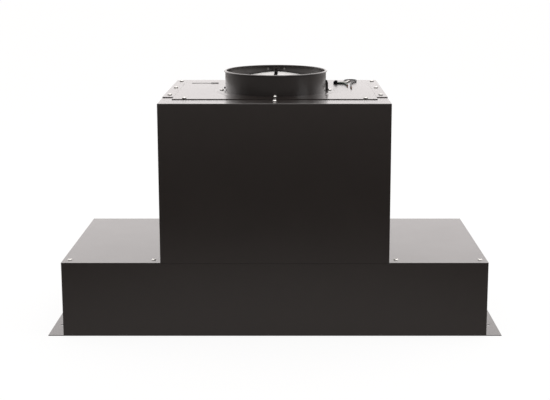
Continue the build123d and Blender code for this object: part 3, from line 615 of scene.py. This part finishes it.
LEAD_ROUTES = {
    "black": (
        (0, 3.3), (6.6, 3.3), (12.2, 7), (15, 14.5), (15, 23), (14.2, 31.5), (16, 39.8), (21.2, 46.3),
        (29.2, 47.5), (35.8, 43), (37.6, 35.4), (35.6, 26.4), (31.6, 17), (28.6, 7), (26, -3.5),
        (24.2, -15), (23.6, -27), (22.4, -39), (22.6, -50.5), (21.6, -62.5), (21.8, -74.5),
    ),
    "white": ((0, 0), (6.6, 0), (13, 2.6), (17.6, 8.2), (19.4, 16), (20.6, 24), (23.2, 31.5)),
    "green": ((0, -3.3), (6.5, -3.3), (12, -7), (14.8, -14.5), (15.4, -24), (16.6, -33.5), (16.4, -43)),
}

# How far each lead lies above the lid
LEAD_CLEARANCE = 0.3 * MM

# A bare end: the bundle's radius as a share of the lead's diameter, a strand's as a share of the bundle's,
# the twist from its start to its tip, and the rings and sides of a strand
BUNDLE_SHARE = 0.3
STRAND_SHARE = 0.28
STRAND_TWIST = 1.6 * math.pi
STRAND_RINGS = 14
STRAND_SIDES = 7


def lead_points(route, diameter):
    """The points of a lead's route in space, laid on the top of the casing."""
    mouth_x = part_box("lead_white")[0].x
    mouth_y = (outlet_low.y + outlet_high.y) / 2
    level = lid_high.z + diameter / 2 + LEAD_CLEARANCE
    return [Vector((mouth_x + along * MM, mouth_y + across * MM, level)) for along, across in route]


def lead_curve(name, points, diameter):
    """The insulated run of a lead along its points, closed at both ends."""
    curve = bpy.data.curves.new(name, "CURVE")
    curve.dimensions = "3D"
    curve.bevel_depth = diameter / 2
    curve.bevel_resolution = 4
    curve.use_fill_caps = True
    spline = curve.splines.new("NURBS")
    spline.points.add(len(points) - 1)
    for knot, point in zip(spline.points, points):
        knot.co = (*point, 1.0)
    spline.order_u = 3
    spline.use_endpoint_u = True
    spline.resolution_u = 6
    curve.materials.append(finish_of(name))
    lead = bpy.data.objects.new(name, curve)
    bpy.context.scene.collection.objects.link(lead)
    return lead


def bare_end(name, place, direction, detail):
    """Twisted copper strands in line with the end of a lead, all round one in the middle."""
    build = bmesh.new()
    radius = detail.lead_diameter * BUNDLE_SHARE
    strand_radius = radius * STRAND_SHARE
    turns = [2 * math.pi * side / STRAND_SIDES for side in range(STRAND_SIDES)]
    section = [strand_radius * Vector((math.cos(turn), math.sin(turn), 0)) for turn in turns]
    for strand in range(detail.strand_count + 1):
        reach = 0 if strand == detail.strand_count else radius - strand_radius
        start = 2 * math.pi * strand / detail.strand_count
        loops = []
        for ring in range(STRAND_RINGS + 1):
            along = detail.tip_length * ring / STRAND_RINGS
            swing = start + STRAND_TWIST * ring / STRAND_RINGS
            middle = Vector((reach * math.cos(swing), reach * math.sin(swing), along))
            loops.append([build.verts.new(middle + step) for step in section])
        for low, high in zip(loops, loops[1:]):
            for side in range(STRAND_SIDES):
                other = (side + 1) % STRAND_SIDES
                build.faces.new((low[side], low[other], high[other], high[side]))
        build.faces.new(loops[0][::-1])
        build.faces.new(loops[-1])
    facing = direction.to_track_quat("Z", "Y").to_matrix().to_4x4()
    build.transform(Matrix.Translation(place) @ facing)
    return new_piece(name, mesh_from(build, name), "copper")


class HOOD_OT_leads(bpy.types.Operator):
    """Lays the three supply leads on the casing, each ending in bare strands"""

    bl_idname = "hood.leads"
    bl_label = "Supply leads"

    def execute(self, context):
        detail = context.scene.hood_detail
        for colour, route in LEAD_ROUTES.items():
            name = f"{colour}_lead"
            points = lead_points(route, detail.lead_diameter)
            lead = lead_curve(name, points, detail.lead_diameter)
            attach(lead, "housing")
            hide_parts(f"lead_{colour}")
            direction = (points[-1] - points[-2]).normalized()
            tip = bare_end(f"{name}_strands", points[-1], direction, detail)
            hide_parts("lead_tips")
        return {"FINISHED"}


# Screws


# Outlines of a screw's head from crown to rim, as shares of its radius and its height
CONED_HEAD = ((0.45, 1.0), (0.57, 0.95), (0.92, 0.36), (1.0, 0.22))
TRUSS_HEAD = ((0.35, 1.0), (0.75, 0.72), (0.95, 0.38), (1.0, 0.15))
HEAD_SIDES = 28
SHADE_WASHER_SIDES = 32


def screw_pattern(radius, height, outline, detail):
    """A head with a cross recess, standing on its origin, and a short shank below it."""
    shank = radius / 2
    profile = [(0.0, height)]
    profile += [(reach * radius, level * height) for reach, level in outline]
    profile += [(radius, 0.0), (shank, 0.0), (shank, -height), (0.0, -height)]
    head = bpy.data.objects.new("screw_head", turned("screw_head", profile, HEAD_SIDES))
    cutter = bmesh.new()
    for turn in (0, math.pi / 2):
        scale = Matrix.Diagonal((detail.recess_length, detail.recess_width, 2 * detail.recess_depth, 1))
        place = Matrix.Translation((0, 0, height)) @ Matrix.Rotation(turn, 4, "Z")
        bmesh.ops.create_cube(cutter, size=1.0, matrix=place @ scale)
    cross = bpy.data.objects.new("screw_recess", bpy.data.meshes.new("screw_recess"))
    cutter.to_mesh(cross.data)
    cutter.free()
    for thing in (head, cross):
        bpy.context.scene.collection.objects.link(thing)
    cut = head.modifiers.new("recess", "BOOLEAN")
    cut.operation = "DIFFERENCE"
    cut.solver = "EXACT"
    cut.use_self = True
    cut.object = cross
    apply_modifiers(head)
    bpy.data.objects.remove(cross)
    return head


def shade_washer_pattern(radius, hole, height):
    """A flat washer with a rounded rim, standing on its origin. In black under a screw's head, it is painted
    shade round the head.
    """
    ease = height / 3
    profile = [
        (hole, height),
        (radius - ease, height),
        (radius, height - ease),
        (radius, ease),
        (radius - ease, 0.0),
        (hole, 0.0),
        (hole, height),
    ]
    washer = bpy.data.objects.new("washer", turned("washer", profile, SHADE_WASHER_SIDES))
    bpy.context.scene.collection.objects.link(washer)
    return washer


def placing_tree():
    """Puts a copy of one object on every point, turned about its own Z, in a material."""
    tree = bpy.data.node_groups.new("Place on points", "GeometryNodeTree")
    for name, kind in (
        ("Points", "NodeSocketGeometry"),
        ("Fastener", "NodeSocketObject"),
        ("Size", "NodeSocketFloat"),
        ("Largest turn", "NodeSocketFloat"),
        ("Seed", "NodeSocketInt"),
        ("Material", "NodeSocketMaterial"),
    ):
        tree.interface.new_socket(name, in_out="INPUT", socket_type=kind)
    tree.interface.new_socket("Fasteners", in_out="OUTPUT", socket_type="NodeSocketGeometry")
    given = add_node(tree, "NodeGroupInput").outputs
    thing = add_node(tree, "GeometryNodeObjectInfo", {"Object": given["Fastener"]})
    # Input 3 of a Random Value node is the largest number, and output 1 is the number drawn
    turn = add_node(
        tree, "FunctionNodeRandomValue", {3: given["Largest turn"], "Seed": given["Seed"]}, data_type="FLOAT"
    )
    spin = add_node(tree, "ShaderNodeCombineXYZ", {"Z": turn.outputs[1]})
    facing = add_node(tree, "GeometryNodeInputNamedAttribute", {"Name": "facing"}, data_type="FLOAT_VECTOR")
    aimed = add_node(
        tree, "FunctionNodeAlignRotationToVector", {"Vector": facing.outputs[0]}, axis="Z"
    )
    twisted = add_node(
        tree, "FunctionNodeRotateRotation", {0: aimed.outputs[0], 1: spin.outputs[0]}, rotation_space="LOCAL"
    )
    copies = add_node(
        tree,
        "GeometryNodeInstanceOnPoints",
        {
            "Points": given["Points"],
            "Instance": thing.outputs["Geometry"],
            "Rotation": twisted.outputs[0],
            "Scale": given["Size"],
        },
    )
    real = add_node(tree, "GeometryNodeRealizeInstances", {"Geometry": copies.outputs[0]})
    dressed = add_node(
        tree, "GeometryNodeSetMaterial", {"Geometry": real.outputs[0], "Material": given["Material"]}
    )
    add_node(tree, "NodeGroupOutput", {0: dressed.outputs[0]})
    return tree


def place_fasteners(name, tree, places, fastener, slot, largest_turn, seed):
    """A piece made of one fastener at each place. A place is a point and the way its head faces."""
    mesh = bpy.data.meshes.new(name)
    mesh.from_pydata([point for point, facing in places], [], [])
    facings = mesh.attributes.new("facing", "FLOAT_VECTOR", "POINT")
    for item, (point, facing) in zip(facings.data, places):
        item.vector = facing
    holder = bpy.data.objects.new(name, mesh)
    bpy.context.scene.collection.objects.link(holder)
    grown = holder.modifiers.new("place", "NODES")
    grown.node_group = tree
    values = {
        "Fastener": fastener,
        "Size": 1.0,
        "Largest turn": largest_turn,
        "Seed": seed,
        "Material": finish_of(slot),
    }
    for item in tree.interface.items_tree:
        if item.in_out == "INPUT" and item.name in values:
            grown[item.identifier] = values[item.name]
    apply_modifiers(holder)
    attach(holder, "housing")
    return holder


class HOOD_OT_screws(bpy.types.Operator):
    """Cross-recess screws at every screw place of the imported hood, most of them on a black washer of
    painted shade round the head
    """

    bl_idname = "hood.screws"
    bl_label = "Screws"

    def execute(self, context):
        detail = context.scene.hood_detail
        tree = placing_tree()
        screw_low, screw_high = solids_of("lid_screws")[0]
        radius = (screw_high.x - screw_low.x) / 2
        head = screw_pattern(radius - detail.shade_washer_rim, detail.head_height, CONED_HEAD, detail)
        wide_head = screw_pattern(radius, detail.head_height, TRUSS_HEAD, detail)
        washer = shade_washer_pattern(radius, radius / 2, detail.shade_washer_height)
        up = Vector((0, 0, 1))
        for node in ("shoulder_screws", "lid_screws", "casing_screws", "collar_screws"):
            on_shade_washer = node != "shoulder_screws"
            lift = detail.shade_washer_height if on_shade_washer else 0.0
            seats = []
            for low, high in solids_of(node):
                middle = (low + high) / 2
                seats.append(Vector((middle.x, middle.y, high.z - detail.seat_drop)))
            heads = place_fasteners(
                node.replace("screws", "screw_heads"),
                tree,
                [(seat + up * lift, up) for seat in seats],
                head if on_shade_washer else wide_head,
                "zinc_screw",
                2 * math.pi,
                detail.screw_seed,
            )
            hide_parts(node)
            if on_shade_washer:
                # Painted shade: a black washer under each head
                place_fasteners(
                    node.replace("screws", "screw_washers"),
                    tree,
                    [(seat, up) for seat in seats],
                    washer,
                    "black_plastic",
                    0.0,
                    detail.screw_seed,
                )
        for pattern in (head, wide_head, washer):
            bpy.data.objects.remove(pattern)
        return {"FINISHED"}


def plate(name, low, high):
    """A flat piece between two corners, in the coat of the body."""
    build = bmesh.new()
    low, high = Vector(low), Vector(high)
    size = Matrix.Diagonal((*(high - low), 1))
    bmesh.ops.create_cube(build, size=1.0, matrix=Matrix.Translation((low + high) / 2) @ size)
    new_piece(name, mesh_from(build, name), "black_powder")


class HOOD_OT_lid_hook(bpy.types.Operator):
    """The hooked strip that holds the rear edge of the lid, left of the collar"""

    bl_idname = "hood.lid_hook"
    bl_label = "Lid hook"

    def execute(self, context):
        detail = context.scene.hood_detail
        clearance = 0.02 * MM
        lip_width = 2 * MM
        lip_height = 0.6 * MM
        left = lid_low.x + detail.hook_inset
        right = left + detail.hook_length
        lip_left = right - detail.hook_lip
        front = lid_high.y - detail.hook_overlap
        rear = lid_high.y + detail.hook_overlap
        base = lid_high.z + clearance
        top = base + detail.hook_thickness
        plate("lid_hook", (left, front, base), (right, rear, top))
        plate("lid_hook_lip", (lip_left, front, top), (right, front + lip_width, top + lip_height))
        return {"FINISHED"}


# Trim of the collar. A tuck is how far a piece reaches into the wall, and a reach how far it stands out from
# it. The foot's heights are over the lid, and the tabs' over the base flange
COLLAR_SIDES = 128
FLANGE_THICKNESS = 0.8 * MM
RIM_STEPS = 8
RIM_TUCK = 0.3 * MM
FOOT_TOP = 0.86 * MM
FOOT_EDGE = 0.04 * MM
FOOT_GAP = 0.05 * MM
TAB_TUCK = 0.2 * MM
TAB_THICKNESS = 1.2 * MM
SEAM_TAB_HEIGHT = 18 * MM
SEAM_TAB_SHOULDER = 12 * MM
SEAM_TAB_REACH = 3.9 * MM
SEAM_TAB_CREST = 2.2 * MM
STOP_TAB_BOTTOM = 2.5 * MM
STOP_TAB_TOP = 6 * MM
STOP_TAB_REACH = 2.4 * MM


class HOOD_OT_collar(bpy.types.Operator):
    """The rolled rim, the sealed foot and the seam tabs of the duct collar"""

    bl_idname = "hood.collar"
    bl_label = "Collar"

    def execute(self, context):
        detail = context.scene.hood_detail
        self.roll_rim(detail)
        self.seal_foot(detail)
        self.stand_tabs()
        return {"FINISHED"}

    def roll_rim(self, detail):
        """The edge of the sheet rolled outwards: a half round bead against the wall."""
        half = detail.rim_height / 2
        middle = collar_high.z - RIM_TUCK - half
        inner = collar_radius - RIM_TUCK
        profile = [(inner, middle + half)]
        for step in range(RIM_STEPS + 1):
            swing = math.pi / 2 - math.pi * step / RIM_STEPS
            out = collar_radius + detail.rim_reach * math.cos(swing)
            profile.append((out, middle + half * math.sin(swing)))
        profile += [(inner, middle - half), profile[0]]
        rim = turned("collar_rim", profile, COLLAR_SIDES)
        rim.shade_smooth()
        new_piece("collar_rim", rim, "black_powder")

    def seal_foot(self, detail):
        """Paint and sealant that run from the base flange to the lid in a shallow cone."""
        inner = collar_radius + FOOT_GAP
        outer = collar_high.x + detail.foot_reach
        slope_top = collar_low.z + FOOT_TOP
        profile = [
            (inner, slope_top),
            (collar_high.x, slope_top - FOOT_EDGE),
            (outer, collar_low.z + FOOT_EDGE),
            (outer, collar_low.z),
            (inner, collar_low.z),
            (inner, slope_top),
        ]
        new_piece("collar_foot", turned("collar_foot", profile, COLLAR_SIDES), "black_powder")

    def stand_tabs(self):
        """The upright end of the wall's seam on the right, and the small stop tab on the left."""
        foot = collar_low.z + FLANGE_THICKNESS
        inner = collar_radius - TAB_TUCK
        seam_reach = collar_radius + SEAM_TAB_REACH
        stop_reach = collar_radius + STOP_TAB_REACH
        outlines = {
            "collar_seam_tab": (
                (inner, foot),
                (seam_reach, foot),
                (seam_reach, foot + SEAM_TAB_SHOULDER),
                (collar_radius + SEAM_TAB_CREST, foot + SEAM_TAB_HEIGHT),
                (inner, foot + SEAM_TAB_HEIGHT),
            ),
            "collar_stop_tab": (
                (-inner, foot + STOP_TAB_BOTTOM),
                (-inner, foot + STOP_TAB_TOP),
                (-stop_reach, foot + STOP_TAB_TOP),
                (-stop_reach, foot + STOP_TAB_BOTTOM),
            ),
        }
        for name, outline in outlines.items():
            build = bmesh.new()
            front = [build.verts.new((x, -TAB_THICKNESS / 2, z)) for x, z in outline]
            back = [build.verts.new((x, TAB_THICKNESS / 2, z)) for x, z in outline]
            build.faces.new(front)
            build.faces.new(back[::-1])
            for i in range(len(outline)):
                j = (i + 1) % len(outline)
                build.faces.new((front[j], front[i], back[i], back[j]))
            new_piece(name, mesh_from(build, name), "black_powder")


# Studio. A softbox has a place, a point that it faces and a width, in metres

CEILING_PLACE = (0.3, -0.2, 2.2)
CEILING_AIM = (0, 0, 0.2)
CEILING_WIDTH = 1.6
SIDE_PLACE = (1.9, -0.9, 1.2)
SIDE_AIM = (0, 0, 0.25)
SIDE_WIDTH = 1.0

# The way from the camera's side to the back and up, where the studio is white, and the light under the floor
BACK_AND_UP = (0.0, 0.85, 0.53)
UNDER_FLOOR = 0.7


def floor_material():
    """Pale seamless paper: the camera sees it almost white. Gloss sees it as dim as the floor of a
    studio that is lit from above and behind: lightest by the hood, and lighter again far off."""
    studio_paper = bpy.data.materials.new("Seamless paper")
    studio_paper.use_nodes = True
    tree = studio_paper.node_tree
    tree.nodes.clear()
    path = add_node(tree, "ShaderNodeLightPath").outputs
    paper = add_node(tree, "ShaderNodeBsdfDiffuse", {"Color": linear("#eeedeb")})
    glow = add_node(tree, "ShaderNodeEmission", {"Color": linear("#ffffff"), "Strength": 1.04})
    seen = add_node(tree, "ShaderNodeMixShader", {0: 0.88, 1: paper.outputs[0], 2: glow.outputs[0]})
    place = add_node(tree, "ShaderNodeTexCoord").outputs["Object"]
    away = add_node(tree, "ShaderNodeVectorMath", {0: place}, operation="LENGTH")
    near = add_node(
        tree,
        "ShaderNodeMapRange",
        {"Value": away.outputs["Value"], "From Min": 0.2, "From Max": 1.2, "To Min": 0.25, "To Max": 0.0},
        interpolation_type="SMOOTHERSTEP",
    )
    far = add_node(
        tree,
        "ShaderNodeMapRange",
        {"Value": away.outputs["Value"], "From Min": 1.6, "From Max": 3.4, "To Min": 0.07, "To Max": 0.3},
        interpolation_type="SMOOTHSTEP",
    )
    above = add_node(tree, "ShaderNodeMath", {0: near.outputs[0], 1: far.outputs[0]}, operation="ADD")
    below = add_node(tree, "ShaderNodeNewGeometry").outputs["Backfacing"]
    dim = add_node(
        tree,
        "ShaderNodeMath",
        {0: below, 1: UNDER_FLOOR, 2: above.outputs[0]},
        operation="MULTIPLY_ADD",
    )
    mirrored = add_node(tree, "ShaderNodeEmission", {"Color": linear("#fff8f4"), "Strength": dim.outputs[0]})
    to_eye = add_node(
        tree,
        "ShaderNodeMath",
        {0: path["Is Camera Ray"], 1: path["Is Transmission Ray"]},
        operation="MAXIMUM",
    )
    pale = add_node(
        tree, "ShaderNodeMixShader", {0: to_eye.outputs[0], 1: paper.outputs[0], 2: seen.outputs[0]}
    )
    whole = add_node(
        tree, "ShaderNodeMixShader", {0: path["Is Glossy Ray"], 1: pale.outputs[0], 2: mirrored.outputs[0]}
    )
    add_node(tree, "ShaderNodeOutputMaterial", {"Surface": whole.outputs[0]})
    return studio_paper


def white_studio(studio):
    """A studio with white walls and ceiling that is open and dim on the side of the camera. The camera
    and glass see white all round; gloss sees the walls and the ceiling white and the open side dim. What
    lies under the floor is pale, for the underside of the hood."""
    world = bpy.data.worlds.new("White studio")
    world.use_nodes = True
    tree = world.node_tree
    tree.nodes.clear()
    way = add_node(tree, "ShaderNodeTexCoord").outputs["Generated"]
    behind = add_node(tree, "ShaderNodeVectorMath", {0: way, 1: BACK_AND_UP}, operation="DOT_PRODUCT")
    level = add_node(
        tree,
        "ShaderNodeMapRange",
        {
            "Value": behind.outputs["Value"],
            "From Min": -0.1,
            "From Max": 0.6,
            "To Min": studio.open_side,
            "To Max": studio.wall_level,
        },
        interpolation_type="SMOOTHSTEP",
    )
    height = add_node(tree, "ShaderNodeSeparateXYZ", {0: way}).outputs["Z"]
    under = add_node(
        tree,
        "ShaderNodeMapRange",
        {"Value": height, "From Min": -0.1, "From Max": -0.3, "To Min": 0.0, "To Max": 0.6},
    )
    whole = add_node(tree, "ShaderNodeMath", {0: level.outputs[0], 1: under.outputs[0]}, operation="ADD")
    path = add_node(tree, "ShaderNodeLightPath").outputs
    to_eye = add_node(
        tree,
        "ShaderNodeMath",
        {0: path["Is Camera Ray"], 1: path["Is Transmission Ray"]},
        operation="MAXIMUM",
    )
    light = add_node(
        tree, "ShaderNodeBackground", {"Color": linear("#fffaf9"), "Strength": whole.outputs[0]}
    )
    white = add_node(tree, "ShaderNodeBackground", {"Color": linear("#ffffff"), "Strength": 1.0})
    sky = add_node(
        tree, "ShaderNodeMixShader", {0: to_eye.outputs[0], 1: light.outputs[0], 2: white.outputs[0]}
    )
    add_node(tree, "ShaderNodeOutputWorld", {"Surface": sky.outputs[0]})
    return world


def softbox(name, place, aim, width, power):
    """A square area light at a place, facing a point."""
    lamp = bpy.data.lights.new(name, "AREA")
    lamp.size = width
    lamp.energy = power
    box = bpy.data.objects.new(name, lamp)
    box.location = place
    box.rotation_euler = (Vector(aim) - Vector(place)).to_track_quat("-Z", "Y").to_euler()
    bpy.context.scene.collection.objects.link(box)


class HOOD_OT_stage(bpy.types.Operator):
    """Floor, soft light, pale surroundings and the camera"""

    bl_idname = "hood.stage"
    bl_label = "Stage"

    def execute(self, context):
        studio = context.scene.hood_studio
        self.lay_floor(studio.floor_reach)
        softbox("ceiling_softbox", CEILING_PLACE, CEILING_AIM, CEILING_WIDTH, studio.key_power)
        softbox("side_softbox", SIDE_PLACE, SIDE_AIM, SIDE_WIDTH, studio.side_power)
        context.scene.world = white_studio(studio)
        self.set_camera(context, studio)
        context.scene.view_settings.view_transform = "Standard"
        return {"FINISHED"}

    def lay_floor(self, reach):
        """A floor with an opening under the hood, just inside its outline, so that light reaches the
        underside and the filters can drop."""
        low, high = cad_bounds
        margin = 0.8 * MM
        rear_low, rear_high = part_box("body_rear")
        wrap_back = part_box("body_wrap")[1].y
        xs = [-reach, low[0] + margin, rear_low.x + margin, rear_high.x - margin, high[0] - margin, reach]
        ys = [-reach, low[1] + margin, wrap_back - margin, high[1] - margin, reach]
        build = bmesh.new()
        grid = [[build.verts.new((x, y, 0)) for x in xs] for y in ys]
        for row in range(len(ys) - 1):
            for column in range(len(xs) - 1):
                under_body = row == 1 and 0 < column < len(xs) - 2
                under_rear = row == 2 and column == 2
                if not (under_body or under_rear):
                    a, b = grid[row][column], grid[row][column + 1]
                    c, d = grid[row + 1][column + 1], grid[row + 1][column]
                    build.faces.new((a, b, c, d))
        paper = bpy.data.objects.new("paper_floor", mesh_from(build, "paper_floor"))
        paper.data.materials.append(floor_material())
        bpy.context.scene.collection.objects.link(paper)

    def set_camera(self, context, studio):
        """The camera of the photograph: its optical centre is right of and above the middle."""
        lens = bpy.data.cameras.new("camera")
        lens.sensor_width = 36.0
        lens.lens = studio.focal_pixels / IMAGE_WIDTH * lens.sensor_width
        lens.shift_x = (IMAGE_WIDTH / 2 - studio.centre_x) / IMAGE_WIDTH
        lens.shift_y = (studio.centre_y - IMAGE_HEIGHT / 2) / IMAGE_WIDTH
        camera = bpy.data.objects.new("camera", lens)
        camera.location = studio.camera_place
        camera.rotation_euler = (math.pi / 2 - studio.camera_tilt, 0, 0)
        context.scene.collection.objects.link(camera)
        context.scene.camera = camera


class HOOD_PT_panel(bpy.types.Panel):
    """Lists the steps that dress the hood"""

    bl_idname = "HOOD_PT_panel"
    bl_label = "Hood"
    bl_space_type = "VIEW_3D"
    bl_region_type = "UI"
    bl_category = "Hood"

    def draw(self, context):
        for step in STEPS:
            self.layout.operator(step.bl_idname)


STEPS = (HOOD_OT_stage, HOOD_OT_finish, HOOD_OT_leads, HOOD_OT_screws, HOOD_OT_collar, HOOD_OT_lid_hook)
CLASSES = (HoodFinish, HoodDetail, HoodStudio, *STEPS, HOOD_PT_panel)


def register():
    for item in CLASSES:
        bpy.utils.register_class(item)
    bpy.types.Scene.hood_finish = PointerProperty(type=HoodFinish)
    bpy.types.Scene.hood_detail = PointerProperty(type=HoodDetail)
    bpy.types.Scene.hood_studio = PointerProperty(type=HoodStudio)


def unregister():
    del bpy.types.Scene.hood_studio
    del bpy.types.Scene.hood_detail
    del bpy.types.Scene.hood_finish
    for item in reversed(CLASSES):
        bpy.utils.unregister_class(item)


def main():
    register()
    bpy.ops.hood.stage()
    bpy.ops.hood.finish()
    bpy.ops.hood.leads()
    bpy.ops.hood.screws()
    bpy.ops.hood.collar()
    bpy.ops.hood.lid_hook()


if __name__ == "__main__":
    main()
